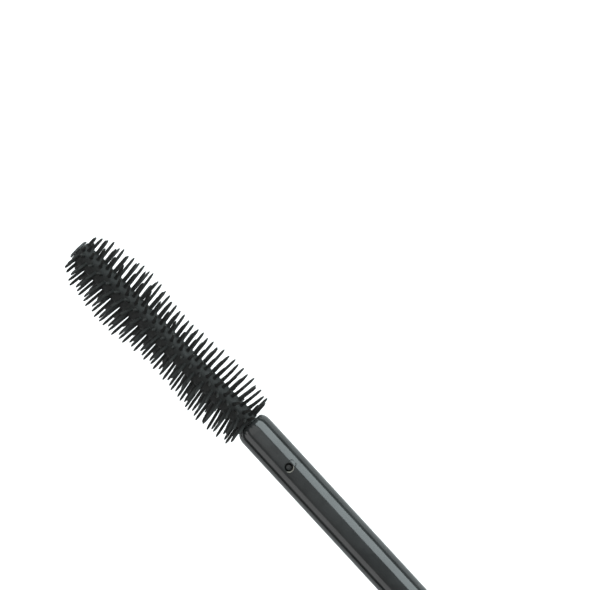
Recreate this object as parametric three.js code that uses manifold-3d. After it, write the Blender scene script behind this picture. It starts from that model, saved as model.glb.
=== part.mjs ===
// A mascara with its wand drawn out of the tube, lying on its flat sides as it is set down on a table.
//
// Units are millimetres and +Z is up. The long axis of both halves is X: the tube is at -X with its mouth
// facing +X, and the wand is at +X with its brush facing the mouth. The origin is under the middle.
//
// Each half is modelled as it sits when the mascara is closed. Its own frame has Y along the tube, with
// y = 0 at the rim of the neck and +y out of the mouth, and Z up. The wand's group is then drawn out.
import * as THREE from 'three';
import { mergeVertices } from 'three/addons/utils/BufferGeometryUtils.js';
import Module from 'manifold-3d';

const wasm = await Module();
wasm.setup();

// ---- Driving dimensions ----------------------------------------------------------------------------

const GAP = 0.3; // between pieces that are cut or placed against each other
const SLIM_GAP = 0.1; // between plain round pieces on one axis
const SIDES = 24; // round bodies
const PIN_SIDES = 16; // thin round pieces

// The soft-square section that the tube and the cap share
const HALF = 8.5;
const CORNER = 4.5;
const SHELL = 0.9;

// Neck and screw thread
const NECK_R = 5.2;
const NECK_BORE = 4.3;
const COLLAR_TOP = -9.9;
const COLLAR_THICK = 1.8;
const PITCH = 3;
const TURNS = 1.5; // from closed to free
const THREAD_HEIGHT = 0.75;
const THREAD_ROOT = 1.3;
const THREAD_CREST = 0.5;
const NECK_THREAD_START = -7.4;

// Tube
const TUBE_BASE = -80;
const VIAL_R = 7;
const VIAL_WALL = 0.9;
const VIAL_OPEN_END = -76;
const TUNNEL_R = 4.8; // the way that the brush keeps open through the mascara

// Wand
const CAP_TOP = 44;
const ROOF = 2.4; // underside of the web that the stem hangs from
const WEB = 2;
const STEM_R = 1.94;
const STEM_END = -45;
const GASKET_THICK = 0.9;
const WIPER_FLANGE_TOP = 0.9;

// Brush: distances run from the stem's end face to the brush's tip
const BRUSH_LENGTH = 26.3;
const BRUSH_LEAN = THREE.MathUtils.degToRad(1.85);
const CORE_R = 1.18;
const SPINE_R = 0.5;
const SHANK_R = 0.95;
const BUTTON_R = 1.2;
const BUTTON_THICK = 0.3;
const ROWS = 16;
const ROW_ZERO = THREE.MathUtils.degToRad(-3); // the first row's turn from straight up
const BRISTLE_PITCH = 1.36;
const BRISTLE_DATUM = 19.72; // a station of the first row
const BRISTLE_ENDS = [0.42, 25.6]; // the first and last place that a bristle's root has room at
const BRISTLE_ROOT = 0.4; // width across flats at the core
// How far each row is moved along the brush, in pitches, going round from the first row
const STAGGER = [0, 0.46, 0, 0.41, -0.08, 0.41, 0.49, 0.41, 0, 0.4, 0.8, 0.64, 0, 0.31, 0.46, 0.4];
// Hourglass envelope of the bristle tips
const REAR_PEAK = { at: 4.7, r: 3.86, reach: 8.3 };
const WAIST = { at: 12.2, r: 3.2 };
const FRONT_PEAK = { at: 18.8, r: 3.94, reach: 8.6 };

// How far the wand is drawn out: the brush's tip stands clear of the mouth
const TIP_CLEAR = 22.5;
const LEAD = PITCH * TURNS;
const DRAWN = TIP_CLEAR - (STEM_END - BRUSH_LENGTH);

// ---- Materials -------------------------------------------------------------------------------------

function finish(color, roughness, metalness = 0) {
  return new THREE.MeshStandardMaterial({ color, roughness, metalness });
}

const GLOSS_BLACK = finish(0x1b1c1e, 0.12);
const STEM_BLACK = finish(0x2b2c2d, 0.16);
const BRISTLE_BLACK = finish(0x2c2e2d, 0.55);
const SPINE_BLACK = finish(0x333635, 0.45);
const SATIN_METAL = finish(0xb9bbbe, 0.3, 1);
const STEEL = finish(0x8e9094, 0.35, 1);
const NATURAL_PLASTIC = finish(0xd9dad6, 0.4);
const LINER_BLACK = finish(0x232425, 0.4);
const SOFT_WHITE = finish(0xe7e5df, 0.8);
const WIPER_RUBBER = finish(0x3a3b3c, 0.6);
const LABEL_WHITE = finish(0xe9e9e6, 0.7);
const MASCARA = finish(0x0b0b0d, 0.25);

// ---- Solids ----------------------------------------------------------------------------------------

// The closed body of a geometry, with its faces turned outwards.
function solid(geometry) {
  const bare = geometry.index ? geometry.toNonIndexed() : geometry.clone();
  bare.deleteAttribute('normal');
  bare.deleteAttribute('uv');
  const merged = mergeVertices(bare, 1e-4);
  const kept = [];
  for (let i = 0; i < merged.index.count; i += 3) {
    const [a, b, c] = [0, 1, 2].map((k) => merged.index.getX(i + k));
    if (a !== b && b !== c && c !== a) kept.push([a, b, c]);
  }
  const vertProperties = merged.attributes.position.array;
  const make = (faces) => new wasm.Manifold(
    new wasm.Mesh({ numProp: 3, vertProperties, triVerts: new Uint32Array(faces.flat()) }),
  );
  const made = make(kept);
  return made.volume() > 0 ? made : make(kept.map(([a, b, c]) => [a, c, b]));
}

// A solid's faces as a three.js geometry.
function geometryOf(body) {
  const mesh = body.getMesh();
  const position = new Float32Array(mesh.numVert * 3);
  for (let i = 0; i < mesh.numVert; i++) {
    position.set(mesh.vertProperties.subarray(i * mesh.numProp, i * mesh.numProp + 3), i * 3);
  }
  const geometry = new THREE.BufferGeometry();
  geometry.setAttribute('position', new THREE.BufferAttribute(position, 3));
  geometry.setIndex(new THREE.BufferAttribute(mesh.triVerts, 1));
  geometry.computeVertexNormals();
  return geometry;
}

// A round body about Y, from [radius, y] corners that start and end on the axis or close on themselves.
function turned(corners, sides = SIDES) {
  const points = corners.map(([r, y]) => new THREE.Vector2(r, y));
  if (corners[0][0] !== 0) points.push(points[0].clone());
  return solid(new THREE.LatheGeometry(points, sides));
}

function rod(radius, low, high, sides = SIDES) {
  return turned([[0, low], [radius, low], [radius, high], [0, high]], sides);
}

function ring(inner, outer, low, high, sides = SIDES) {
  return turned([[inner, low], [outer, low], [outer, high], [inner, high]], sides);
}

// A soft-square bar along Y, with its edges eased at both ends if ease is given.
function softSquare(half, corner, low, high, ease = 0) {
  const shape = new THREE.Shape();
  const flat = half - corner;
  shape.moveTo(half, -flat);
  shape.absarc(flat, flat, corner, 0, Math.PI / 2);
  shape.absarc(-flat, flat, corner, Math.PI / 2, Math.PI);
  shape.absarc(-flat, -flat, corner, Math.PI, 1.5 * Math.PI);
  shape.absarc(flat, -flat, corner, 1.5 * Math.PI, 2 * Math.PI);
  const geometry = new THREE.ExtrudeGeometry(shape, {
    depth: high - low - 2 * ease,
    curveSegments: 5,
    steps: 1,
    bevelEnabled: ease > 0,
    bevelThickness: ease,
    bevelSize: ease,
    bevelOffset: -ease,
    bevelSegments: 1,
  });
  return solid(geometry.rotateX(-Math.PI / 2).translate(0, low + ease, 0));
}

// One screw ridge about Y. Its middle rises by PITCH each turn from y = start at angle from, and its two
// ends fade into the wall. foot and crest are radii: the crest is inside the foot on a cap's thread.
function screwRidge(foot, crest, start, from, to) {
  const steps = Math.ceil((to - from) / (2 * Math.PI / SIDES));
  const fade = 3; // steps at each end
  const corners = [];
  for (let i = 0; i <= steps; i++) {
    const angle = from + ((to - from) * i) / steps;
    const middle = start + (PITCH * angle) / (2 * Math.PI);
    const share = Math.max(0.05, Math.min(1, i / fade, (steps - i) / fade));
    const height = foot + (crest - foot) * share;
    const section = [[foot, -THREAD_ROOT / 2], [height, -THREAD_CREST / 2],
      [height, THREAD_CREST / 2], [foot, THREAD_ROOT / 2]];
    for (const [r, y] of section) corners.push(r * Math.sin(angle), middle + y, r * Math.cos(angle));
  }
  const faces = [0, 1, 2, 0, 2, 3];
  const last = steps * 4;
  faces.push(last, last + 2, last + 1, last, last + 3, last + 2);
  for (let i = 0; i < steps; i++) {
    for (let k = 0; k < 4; k++) {
      const a = i * 4 + k;
      const b = i * 4 + ((k + 1) % 4);
      faces.push(a, a + 4, b, b, a + 4, b + 4);
    }
  }
  const geometry = new THREE.BufferGeometry();
  geometry.setAttribute('position', new THREE.Float32BufferAttribute(corners, 3));
  geometry.setIndex(faces);
  return solid(geometry);
}

function part(name, body, material) {
  const mesh = new THREE.Mesh(geometryOf(body), material);
  mesh.name = name;
  return mesh;
}

// ---- Tube ------------------------------------------------------------------------------------------

const COLLAR_BASE = COLLAR_TOP - COLLAR_THICK;
const SLEEVE_TOP = COLLAR_BASE - GAP;
const SHOULDER = SLEEVE_TOP - 1.2 - GAP;
const BASE_PLATE = 1.4;
const SLEEVE_FOOT = TUBE_BASE + BASE_PLATE + GAP;
const SLEEVE_INSIDE = HALF - SHELL;
const VIAL_INSIDE = VIAL_R - VIAL_WALL;

// The inner bottle: open at its lower end, with a threaded neck.
function vial() {
  const body = turned([
    [VIAL_INSIDE, VIAL_OPEN_END], [VIAL_R, VIAL_OPEN_END],
    [VIAL_R, SHOULDER - 0.8], [VIAL_R - 0.8, SHOULDER],
    [NECK_R, SHOULDER], [NECK_R, -0.4], [NECK_R - 0.4, 0], [NECK_BORE, 0],
    [NECK_BORE, SHOULDER - 1.2], [VIAL_INSIDE, SHOULDER - 2.6],
  ]);
  const thread = screwRidge(
    NECK_R - 0.2, NECK_R + THREAD_HEIGHT, NECK_THREAD_START, 0, TURNS * 2 * Math.PI,
  );
  return body.add(thread);
}

// The disc welded into the vial's lower end.
function vialPlug() {
  const flangeTop = VIAL_OPEN_END - GAP;
  return turned([
    [0, flangeTop - 0.7], [VIAL_R, flangeTop - 0.7], [VIAL_R, flangeTop],
    [VIAL_INSIDE - GAP, flangeTop], [VIAL_INSIDE - GAP, flangeTop + 1.6], [0, flangeTop + 1.6],
  ]);
}

// The mascara that is left around the brush's way in.
function formula() {
  const bottom = VIAL_OPEN_END + 1.6;
  const outer = VIAL_INSIDE - GAP;
  return turned([
    [0, bottom], [outer, bottom], [outer, -20], [outer - 0.5, -19.2],
    [TUNNEL_R, -22], [TUNNEL_R, bottom + 1.4], [0, bottom + 1.4],
  ]);
}

// The soft insert whose lip wipes the stem.
function wiper() {
  const body = NECK_BORE - SLIM_GAP;
  const lip = STEM_R + 0.25;
  return turned([
    [3.4, WIPER_FLANGE_TOP], [3.3, -7.5], [lip + 0.1, -12.2], [lip, -12.8], [lip, -13.6],
    [lip + 0.5, -13.6], [lip + 0.7, -12.4], [body - 0.3, -8.4], [body, -7.6],
    [body, GAP], [5, GAP], [5, WIPER_FLANGE_TOP],
  ]);
}

// The outer case, open at its foot, with a hole in its top for the neck.
function sleeve() {
  const outside = softSquare(HALF, CORNER, SLEEVE_FOOT, SLEEVE_TOP, 0.3);
  const inside = softSquare(SLEEVE_INSIDE, CORNER - SHELL, SLEEVE_FOOT - 1, SLEEVE_TOP - 1.2);
  return outside.subtract(inside).subtract(rod(NECK_R + GAP, SLEEVE_TOP - 2, SLEEVE_TOP + 1));
}

// The bright plate between tube and cap.
function neckCollar() {
  const plate = softSquare(HALF - 0.2, CORNER - 0.2, COLLAR_BASE, COLLAR_TOP, 0.35);
  return plate.subtract(rod(NECK_R + GAP, COLLAR_BASE - 1, COLLAR_TOP + 1));
}

const LABEL_RECESS_R = 5.5;
const LABEL_RECESS = 0.8;
const LABEL_THICK = 0.2;

// The foot, with a rim that locates it in the sleeve and a recess for the label.
function baseCap() {
  const plateTop = TUBE_BASE + BASE_PLATE;
  const rimHalf = SLEEVE_INSIDE - GAP;
  const rimTop = plateTop + 1.2;
  const plate = softSquare(HALF, CORNER, TUBE_BASE, plateTop, 0.3);
  const rim = softSquare(rimHalf, CORNER - SHELL, plateTop - 0.5, rimTop)
    .subtract(softSquare(rimHalf - 1, CORNER - SHELL - 1, plateTop, rimTop + 1));
  return plate.add(rim).subtract(rod(LABEL_RECESS_R, TUBE_BASE - 1, TUBE_BASE + LABEL_RECESS));
}

function shadeLabel() {
  const top = TUBE_BASE + LABEL_RECESS - SLIM_GAP;
  return rod(LABEL_RECESS_R - GAP, top - LABEL_THICK, top);
}

// ---- Cap -------------------------------------------------------------------------------------------

const CAP_RIM = COLLAR_TOP + GAP;
const TRIM_TOP = CAP_RIM + 3;
const LINER_TOP = 41;
const CAP_ROOF = LINER_TOP + 0.5;
const CHAMBER_R = 4.8;
const STEM_TOP = 13;

// The outer case of the cap, closed at its top, with a recess there for the inlay.
function capShell() {
  const outside = softSquare(HALF, CORNER, TRIM_TOP + GAP, CAP_TOP, 0.5);
  const inside = softSquare(SLEEVE_INSIDE, CORNER - SHELL, TRIM_TOP - 1, CAP_ROOF);
  const recess = softSquare(HALF - 1.3, CORNER - 1.3, CAP_TOP - 1.3, CAP_TOP + 1);
  return outside.subtract(inside).subtract(recess);
}

function capTrimRing() {
  const outside = softSquare(HALF, CORNER, CAP_RIM, TRIM_TOP, 0.25);
  return outside.subtract(softSquare(SLEEVE_INSIDE, CORNER - SHELL, CAP_RIM - 1, TRIM_TOP + 1));
}

function capTopPlate() {
  return softSquare(HALF - 1.6, CORNER - 1.6, CAP_TOP - 1, CAP_TOP, 0.2);
}

// The threaded liner: a mouth for the neck, a web that holds the stem, and a chamber for the weight.
function capInner() {
  const outer = SLEEVE_INSIDE - GAP - 0.1;
  const mouth = NECK_R + THREAD_HEIGHT + GAP;
  const webTop = ROOF + WEB;
  const bossTop = 12.4;
  const stemHole = STEM_R + GAP;
  const body = turned([
    [mouth, CAP_RIM + 0.1], [outer, CAP_RIM + 0.1], [outer, LINER_TOP], [CHAMBER_R, LINER_TOP],
    [CHAMBER_R, webTop], [stemHole + 1.2, webTop], [stemHole + 1.2, bossTop], [stemHole, bossTop],
    [stemHole, ROOF], [mouth, ROOF],
  ]);
  // The ridge is drawn where it stands once the cap has been turned off the neck.
  const off = TURNS * 2 * Math.PI;
  const start = NECK_THREAD_START - PITCH / 2 - LEAD;
  const thread = screwRidge(
    mouth + 0.2, NECK_R + GAP, start, off + 0.15 * Math.PI, off + 2.05 * Math.PI,
  );
  return body.add(thread);
}

// The seal, loose between the thread and the web.
function gasket() {
  const low = WIPER_FLANGE_TOP + GAP;
  return ring(3.3, 5.9, low, low + GASKET_THICK);
}

const WEIGHT_BASE = 15;
const WEIGHT_TOP = 38;

function capWeight() {
  const r = CHAMBER_R - GAP;
  return turned([[0, WEIGHT_BASE], [r - 0.4, WEIGHT_BASE], [r, WEIGHT_BASE + 0.4],
    [r, WEIGHT_TOP - 0.4], [r - 0.4, WEIGHT_TOP], [0, WEIGHT_TOP]]);
}

function weightPad() {
  return rod(CHAMBER_R - GAP, WEIGHT_TOP + GAP, CAP_ROOF - GAP);
}

// ---- Stem ------------------------------------------------------------------------------------------

const SOCKET_DEPTH = 9;
const WINDOW_BACK = 6.2; // from the stem's end face to the middle of the locking window
const WINDOW_R = 0.45;
const STEM_BORE = 1.1;

// A small round hole or peg that points straight up from the axis.
function upright(radius, y, low, high) {
  const pin = new THREE.CylinderGeometry(radius, radius, high - low, PIN_SIDES);
  return solid(pin.rotateX(Math.PI / 2).translate(0, y, (low + high) / 2));
}

// The hollow stem: a flange under the web, a round-shouldered end, a socket and a locking window.
function stem() {
  const flangeLow = WIPER_FLANGE_TOP + SLIM_GAP;
  const flangeTop = ROOF - GAP;
  const shoulder = [];
  const reach = { along: 1.1, across: 0.6 };
  for (let i = 0; i <= 6; i++) {
    const a = (i / 6) * (Math.PI / 2);
    shoulder.push([
      STEM_R - reach.across * (1 - Math.sin(a)), STEM_END + reach.along * (1 - Math.cos(a)),
    ]);
  }
  const body = turned([
    [0, STEM_END], ...shoulder, [STEM_R, flangeLow], [3, flangeLow], [3, flangeTop],
    [STEM_R, flangeTop], [STEM_R, STEM_TOP], [0, STEM_TOP],
  ]);
  const socket = rod(SHANK_R + SLIM_GAP, STEM_END - 1, STEM_END + SOCKET_DEPTH, PIN_SIDES);
  const bore = rod(STEM_BORE, STEM_END + SOCKET_DEPTH + 6, STEM_TOP + 1, PIN_SIDES);
  const window = upright(WINDOW_R, STEM_END + WINDOW_BACK, 0, STEM_R + 1);
  return body.subtract(socket).subtract(bore).subtract(window);
}

// ---- Brush -----------------------------------------------------------------------------------------

// The radius that the bristle tips reach at a distance from the stem's end.
function envelope(d) {
  if (d < REAR_PEAK.at) return REAR_PEAK.r * Math.sqrt(1 - ((REAR_PEAK.at - d) / REAR_PEAK.reach) ** 2);
  if (d > FRONT_PEAK.at) return FRONT_PEAK.r * Math.sqrt(1 - ((d - FRONT_PEAK.at) / FRONT_PEAK.reach) ** 2);
  const peak = d < WAIST.at ? REAR_PEAK : FRONT_PEAK;
  const share = (d - WAIST.at) / (peak.at - WAIST.at);
  return WAIST.r + ((peak.r - WAIST.r) * (1 - Math.cos(Math.PI * share))) / 2;
}

// A bristle's lean along the brush in degrees, positive towards the brush's tip.
function bristleLean(d, rowAngle) {
  const frontLean = 5.5;
  const rearLean = -4 + 6 * Math.sin(rowAngle);
  return THREE.MathUtils.lerp(rearLean, frontLean, THREE.MathUtils.smoothstep(d, 3, 16));
}

// Every bristle as {row angle, distance from the stem's end, height of its tip over the axis, lean}.
function bristles() {
  const found = [];
  for (let row = 0; row < ROWS; row++) {
    const angle = ROW_ZERO + (row * 2 * Math.PI) / ROWS;
    for (let k = -15; k <= 5; k++) {
      const station = BRISTLE_DATUM + (k + STAGGER[row]) * BRISTLE_PITCH;
      if (station < -0.2 || station > BRUSH_LENGTH - 0.5) continue;
      const d = Math.min(Math.max(station, BRISTLE_ENDS[0]), BRISTLE_ENDS[1]);
      found.push({ angle, d, tip: envelope(d), lean: bristleLean(d, angle) });
    }
  }
  return found;
}

const SLEEVE_REAR = -0.1;
const SLEEVE_FRONT = -(BRUSH_LENGTH - BUTTON_THICK - SLIM_GAP);

// One four-sided bristle, rooted under the core's surface, before it is turned to its row.
function bristleSpike({ angle, d, tip, lean }) {
  const root = CORE_R * 0.8;
  const spike = new THREE.ConeGeometry(BRISTLE_ROOT / Math.SQRT2, tip - root, 4, 1);
  spike.rotateY(Math.PI / 4);
  spike.translate(0, (tip - root) / 2, 0);
  spike.rotateX(Math.PI / 2);
  spike.rotateX(THREE.MathUtils.degToRad(lean));
  spike.translate(0, -d, root);
  spike.rotateY(-angle);
  return solid(spike);
}

// The soft moulding: a core with a flat for each row, and its bristles, about the brush's own axis.
function bristleSleeve() {
  const acrossCorners = 1 / Math.cos(Math.PI / ROWS);
  const core = turned([
    [SPINE_R + SLIM_GAP, SLEEVE_FRONT], [CORE_R * acrossCorners, SLEEVE_FRONT],
    [CORE_R * acrossCorners, SLEEVE_REAR], [SPINE_R + SLIM_GAP, SLEEVE_REAR],
  ], ROWS);
  const flatsToRows = core.rotate([0, THREE.MathUtils.radToDeg(-ROW_ZERO) + 180 / ROWS, 0]);
  return wasm.Manifold.union([flatsToRows, ...bristles().map(bristleSpike)]);
}

// The stiff spine: shank and locking peg in the stem, a rod through the bristles, and the tip button.
function brushSpine() {
  const shank = rod(SHANK_R, STEM_END, STEM_END + SOCKET_DEPTH - GAP, PIN_SIDES);
  const peg = upright(WINDOW_R - SLIM_GAP, STEM_END + WINDOW_BACK, 0, STEM_R - 0.35);
  const buttonBase = -BRUSH_LENGTH + BUTTON_THICK;
  const lean = turned([
    [0, -BRUSH_LENGTH], [BUTTON_R - 0.2, -BRUSH_LENGTH], [BUTTON_R, -BRUSH_LENGTH + 0.1],
    [BUTTON_R, buttonBase], [SPINE_R, buttonBase], [SPINE_R, 0.6], [0, 0.6],
  ], PIN_SIDES);
  const leaning = lean.rotate([0, 0, THREE.MathUtils.radToDeg(BRUSH_LEAN)]).translate([0, STEM_END, 0]);
  return shank.add(peg).add(leaning);
}

// ---- Assembly --------------------------------------------------------------------------------------

const tube = new THREE.Group();
tube.add(
  part('vial', vial(), NATURAL_PLASTIC),
  part('vial_plug', vialPlug(), NATURAL_PLASTIC),
  part('formula', formula(), MASCARA),
  part('wiper', wiper(), WIPER_RUBBER),
  part('sleeve', sleeve(), GLOSS_BLACK),
  part('neck_collar', neckCollar(), SATIN_METAL),
  part('base_cap', baseCap(), GLOSS_BLACK),
  part('shade_label', shadeLabel(), LABEL_WHITE),
);

// The brush sits in the stem with a slight lean towards -Y.
const leaningBrush = new THREE.Group();
leaningBrush.position.y = STEM_END;
leaningBrush.rotation.z = BRUSH_LEAN;
leaningBrush.add(part('bristle_sleeve', bristleSleeve(), BRISTLE_BLACK));

const wand = new THREE.Group();
wand.position.y = DRAWN;
wand.add(
  part('cap_shell', capShell(), GLOSS_BLACK),
  part('cap_trim_ring', capTrimRing(), SATIN_METAL),
  part('cap_top_plate', capTopPlate(), SATIN_METAL),
  part('cap_inner', capInner(), LINER_BLACK),
  part('cap_weight', capWeight(), STEEL),
  part('weight_pad', weightPad(), SOFT_WHITE),
  part('stem', stem(), STEM_BLACK),
  part('brush_spine', brushSpine(), SPINE_BLACK),
  leaningBrush,
);

// The gasket hangs free below the web by the thread's lead until the cap is screwed down on it.
const looseGasket = new THREE.Group();
looseGasket.position.y = DRAWN - LEAD;
looseGasket.add(part('gasket', gasket(), SOFT_WHITE));

const mascara = new THREE.Group();
mascara.rotation.z = -Math.PI / 2;
mascara.position.set(-(TUBE_BASE + DRAWN + CAP_TOP) / 2, 0, HALF);
mascara.add(tube, wand, looseGasket);

const model = new THREE.Group();
model.add(mascara);
export default model;
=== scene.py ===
"""The looks of a mascara that lies open on a pale studio floor, with its wand drawn out of the tube.

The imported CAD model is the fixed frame. Round and soft-square pieces are turned from a short profile about
the long axis, which runs along +X, and the brush is grown bristle by bristle. Shapes are worked out in
millimetres about that axis, and go to the frame's metres and height when a piece is finished.
"""

import logging
import math
import random
from collections.abc import Callable, Iterable, Sequence
from dataclasses import dataclass, field
from enum import Enum

import bmesh
import bpy
from mathutils import Matrix, Vector


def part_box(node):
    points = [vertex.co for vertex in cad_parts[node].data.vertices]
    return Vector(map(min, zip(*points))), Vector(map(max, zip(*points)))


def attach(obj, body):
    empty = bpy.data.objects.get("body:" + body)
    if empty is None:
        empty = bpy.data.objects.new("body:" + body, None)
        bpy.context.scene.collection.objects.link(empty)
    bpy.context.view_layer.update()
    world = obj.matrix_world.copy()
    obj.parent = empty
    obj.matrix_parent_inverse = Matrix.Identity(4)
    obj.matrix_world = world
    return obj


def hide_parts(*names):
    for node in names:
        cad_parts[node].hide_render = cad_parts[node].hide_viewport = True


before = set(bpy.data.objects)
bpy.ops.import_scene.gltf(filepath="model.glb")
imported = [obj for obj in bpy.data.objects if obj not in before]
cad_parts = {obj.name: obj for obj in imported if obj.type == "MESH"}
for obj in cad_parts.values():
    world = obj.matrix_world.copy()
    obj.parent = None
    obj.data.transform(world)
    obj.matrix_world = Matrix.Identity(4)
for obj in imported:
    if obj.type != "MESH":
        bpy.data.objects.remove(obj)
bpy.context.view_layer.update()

log = logging.getLogger("mascara")

MM = 0.001
FULL_TURN = 2 * math.pi
ROUND_SIDES = 96  # a multiple of 4, so that a soft square has a whole number of points in each corner
SMALL_SIDES = 40
BRISTLE_SIDES = 8
EASE_STEPS = 4
NEAR = 1e-3  # how close two lengths count as the same
SHOULDER_STEPS = 8
ROD_SIDES = 64
GAP = 0.3  # what neighbouring pieces keep between them
WALL = 0.9  # the cases' and the vial's
PITCH = 3.0  # the screw's climb in a turn
LEAD = 4.5  # its climb from closed to free
THREAD_DROP = 7.4  # from the vial's mouth to where its thread begins
THREAD_SUNK = 0.2  # how deep a ridge's foot stands in its wall
FLANGE_DROP = 10.9  # from the stem's rear end to its flange's top


# ---- Places ----------------------------------------------------------------------------------------


@dataclass(frozen=True)
class Span:
    """Where a CAD node lies at rest, in millimetres.

    Attributes:
        start: its end nearer the tube's foot, along X.
        end: its end nearer the cap's top.
        reach: how far it stands from the long axis.
        height: the height of its middle over the floor.
    """

    start: float
    end: float
    reach: float
    height: float

    @classmethod
    def of(cls, node: str) -> "Span":
        """The span of one CAD node.

        Args:
            node: the node's name.

        Returns:
            Its ends, reach and height.
        """
        low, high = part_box(node)
        return cls(low.x / MM, high.x / MM, (high.y - low.y) / 2 / MM, (low.z + high.z) / 2 / MM)


AXIS_HEIGHT = Span.of("sleeve").height


class Body(Enum):
    """The rigid bodies of the frame."""

    BOTTLE = "bottle"
    GASKET = "gasket"
    WEIGHT = "weight"
    WAND = "wand"


class Joining(Enum):
    """How a second shape is combined with a first."""

    JOIN = "UNION"
    CUT = "DIFFERENCE"


# ---- Node trees ------------------------------------------------------------------------------------

Setting = float | str | bool | tuple[float, ...] | bpy.types.NodeSocket


class Tree:
    """A node tree that is filled by short calls."""

    def __init__(self, tree: bpy.types.NodeTree) -> None:
        """Takes an empty tree to fill."""
        self.tree = tree

    def put(self, value: Setting, socket: bpy.types.NodeSocket) -> None:
        """Links another node's socket to an input, or sets the input's own value."""
        if isinstance(value, bpy.types.NodeSocket):
            self.tree.links.new(value, socket)
        else:
            socket.default_value = value

    def add(
        self, kind: str, inputs: dict[str | int, Setting] | None = None, **settings: Setting
    ) -> bpy.types.Node:
        """Adds a node.

        Args:
            kind: the node's type, without its leading ShaderNode.
            inputs: a value or another node's socket for each input, by name or number.
            settings: the node's own properties.

        Returns:
            The new node.
        """
        node = self.tree.nodes.new("ShaderNode" + kind)
        for name, value in settings.items():
            setattr(node, name, value)
        for key, value in (inputs or {}).items():
            self.put(value, node.inputs[key])
        return node

    def math(self, operation: str, *values: Setting) -> bpy.types.NodeSocket:
        """Adds a Math node and returns its result."""
        return self.add("Math", dict(enumerate(values)), operation=operation).outputs[0]

    def ramp(
        self, value: Setting, low: float, high: float, bottom: float = 0.0, top: float = 1.0
    ) -> bpy.types.NodeSocket:
        """Maps a value smoothly from one range to another.

        Args:
            value: the value to map.
            low: the value that gives bottom.
            high: the value that gives top.
            bottom: the lowest result.
            top: the highest result.

        Returns:
            The mapped value.
        """
        values = {"Value": value, "From Min": low, "From Max": high, "To Min": bottom, "To Max": top}
        return self.add("MapRange", values, interpolation_type="SMOOTHSTEP").outputs["Result"]

    def blend(self, share: Setting, first: Setting, second: Setting) -> bpy.types.NodeSocket:
        """Mixes two colours.

        Args:
            share: how much of the second colour shows.
            first: the colour at share 0.
            second: the colour at share 1.

        Returns:
            The mixed colour.
        """
        sockets = {0: share, 6: first, 7: second}  # a Mix node has sockets for other types between
        return self.add("Mix", sockets, data_type="RGBA").outputs[2]

    def noise(
        self, place: Setting, scale: Setting, detail: float, distortion: float = 0.0
    ) -> bpy.types.NodeSocket:
        """Noise of 0 to 1 at a place, with scale lumps to a unit."""
        inputs = {"Vector": place, "Scale": scale, "Detail": detail, "Distortion": distortion}
        return self.add("TexNoise", inputs).outputs["Fac"]

    def vector(self, operation: str, *vectors: Setting) -> bpy.types.NodeSocket:
        """The result of a vector operation, which is a number for LENGTH and DOT_PRODUCT."""
        node = self.add("VectorMath", dict(enumerate(vectors)), operation=operation)
        return node.outputs["Value" if operation in ("LENGTH", "DOT_PRODUCT") else "Vector"]

    def group(self, name: str, inputs: dict[str | int, Setting]) -> bpy.types.Node:
        """Places a shared node group.

        Args:
            name: the group's name.
            inputs: a value or a socket for each of its inputs.

        Returns:
            The group's node.
        """
        node = self.tree.nodes.new("ShaderNodeGroup")
        node.node_tree = bpy.data.node_groups[name]
        for key, value in inputs.items():
            self.put(value, node.inputs[key])
        return node


def new_group(
    name: str, inputs: dict[str, str], outputs: dict[str, str]
) -> tuple[Tree, bpy.types.Node, bpy.types.Node]:
    """Starts a shader node group.

    Args:
        name: the group's name.
        inputs: its input names, with the kind of each: Float, Vector or Color.
        outputs: its output names, with their kinds.

    Returns:
        The tree to fill, its input node and its output node.
    """
    tree = bpy.data.node_groups.new(name, "ShaderNodeTree")
    for label, kind in inputs.items():
        tree.interface.new_socket(name=label, in_out="INPUT", socket_type="NodeSocket" + kind)
    for label, kind in outputs.items():
        tree.interface.new_socket(name=label, in_out="OUTPUT", socket_type="NodeSocket" + kind)
    return Tree(tree), tree.nodes.new("NodeGroupInput"), tree.nodes.new("NodeGroupOutput")


MOULDED_SKIN = "Moulded skin"
HANDLING_MARKS = "Handling marks"
TURNED_LINES = "Turned lines"


def make_moulded_skin() -> None:
    """Builds the fine grain and the slow waviness of a moulded plastic surface."""
    tree, entry, leave = new_group(
        MOULDED_SKIN,
        {"Vector": "Vector", "Grain": "Float", "Waves": "Float"},
        {"Height": "Float", "Cloud": "Float"},
    )
    place = entry.outputs["Vector"]
    grain = tree.noise(place, entry.outputs["Grain"], 2.0)
    waves = tree.noise(place, entry.outputs["Waves"], 3.0)
    tree.put(tree.math("MULTIPLY_ADD", grain, 0.35, waves), leave.inputs["Height"])
    tree.put(waves, leave.inputs["Cloud"])


def make_handling_marks() -> None:
    """Builds the marks of handling: soft smears, hairline scratches and specks of dust."""
    tree, entry, leave = new_group(
        HANDLING_MARKS, {"Vector": "Vector"}, {"Smear": "Float", "Scratch": "Float", "Dust": "Float"}
    )
    place = entry.outputs["Vector"]
    smear = tree.ramp(tree.noise(place, 140.0, 4.0, 1.2), 0.48, 0.72)
    scratches = []
    spacing = 90.0
    for turn, stretch in ((0.35, 45.0), (-0.8, 60.0)):
        scale = (spacing, spacing * stretch, spacing)
        turned_place = tree.add("Mapping", {"Vector": place, "Rotation": (turn, 0.2, turn), "Scale": scale})
        scratches.append(tree.ramp(tree.noise(turned_place.outputs[0], 1.0, 1.0), 0.70, 0.76))
    cells = tree.add("TexVoronoi", {"Vector": place, "Scale": 420.0})
    dust = tree.ramp(cells.outputs["Distance"], 0.05, 0.03)
    tree.put(smear, leave.inputs["Smear"])
    tree.put(tree.math("MAXIMUM", *scratches), leave.inputs["Scratch"])
    tree.put(dust, leave.inputs["Dust"])


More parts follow.
